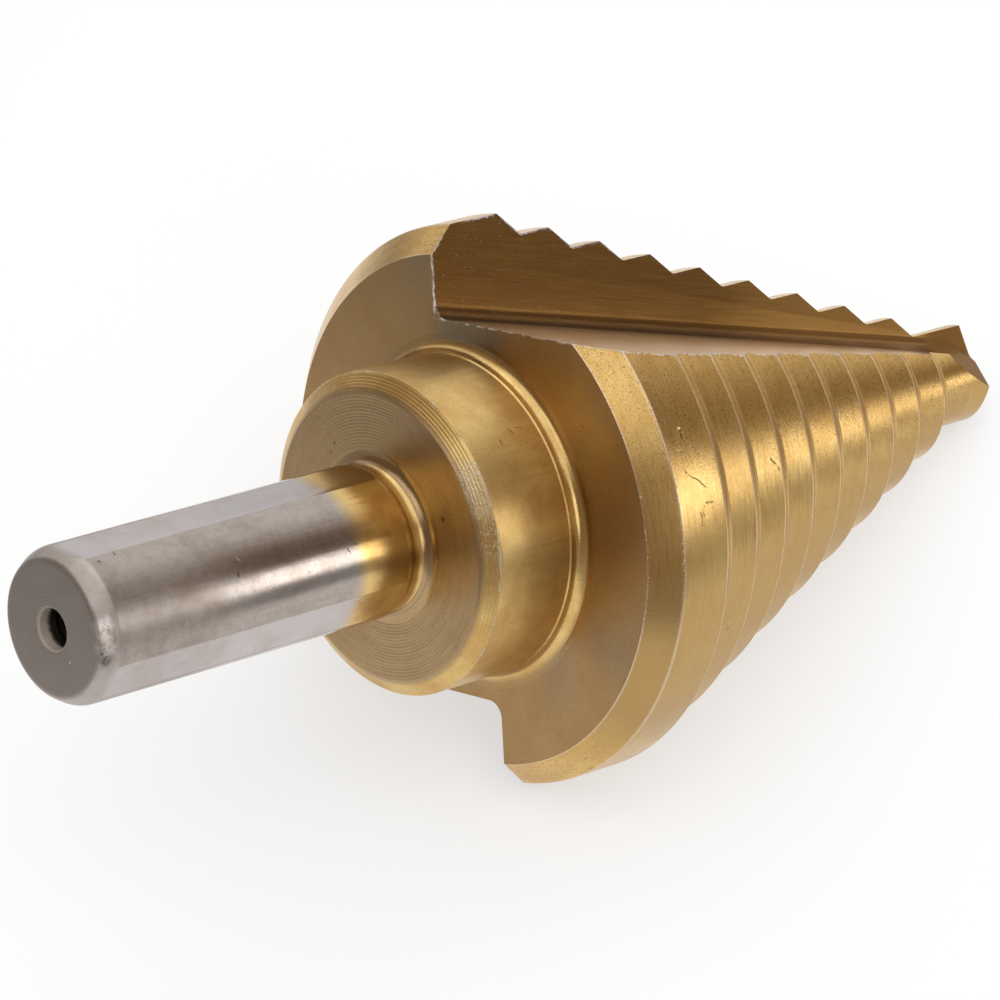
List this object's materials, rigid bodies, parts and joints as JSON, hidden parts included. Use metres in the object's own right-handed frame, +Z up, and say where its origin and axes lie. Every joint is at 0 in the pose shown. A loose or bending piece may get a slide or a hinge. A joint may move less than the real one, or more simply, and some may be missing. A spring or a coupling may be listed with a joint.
{
  "type": "step drill",
  "caption": "Stepped cone drill bit with straight ground flutes, a split point, a stop collar and a flatted round shank. It drills round holes in sheet and widens them step by step.",
  "frame": {"origin": "middle of the bounding box's underside, on the surface the drill rests on", "axes": "+X is the way the point faces, along the drill's length. +Z is up. The drill's own axis lies in the XZ plane and slopes 17.5 degrees down towards the point."},
  "size_m": [0.075, 0.0346, 0.0304],
  "materials": {
    "coated_steel": "satin"
  },
  "bodies": {
    "root": {"step_drill": "coated_steel"}
  },
  "joints": []
}
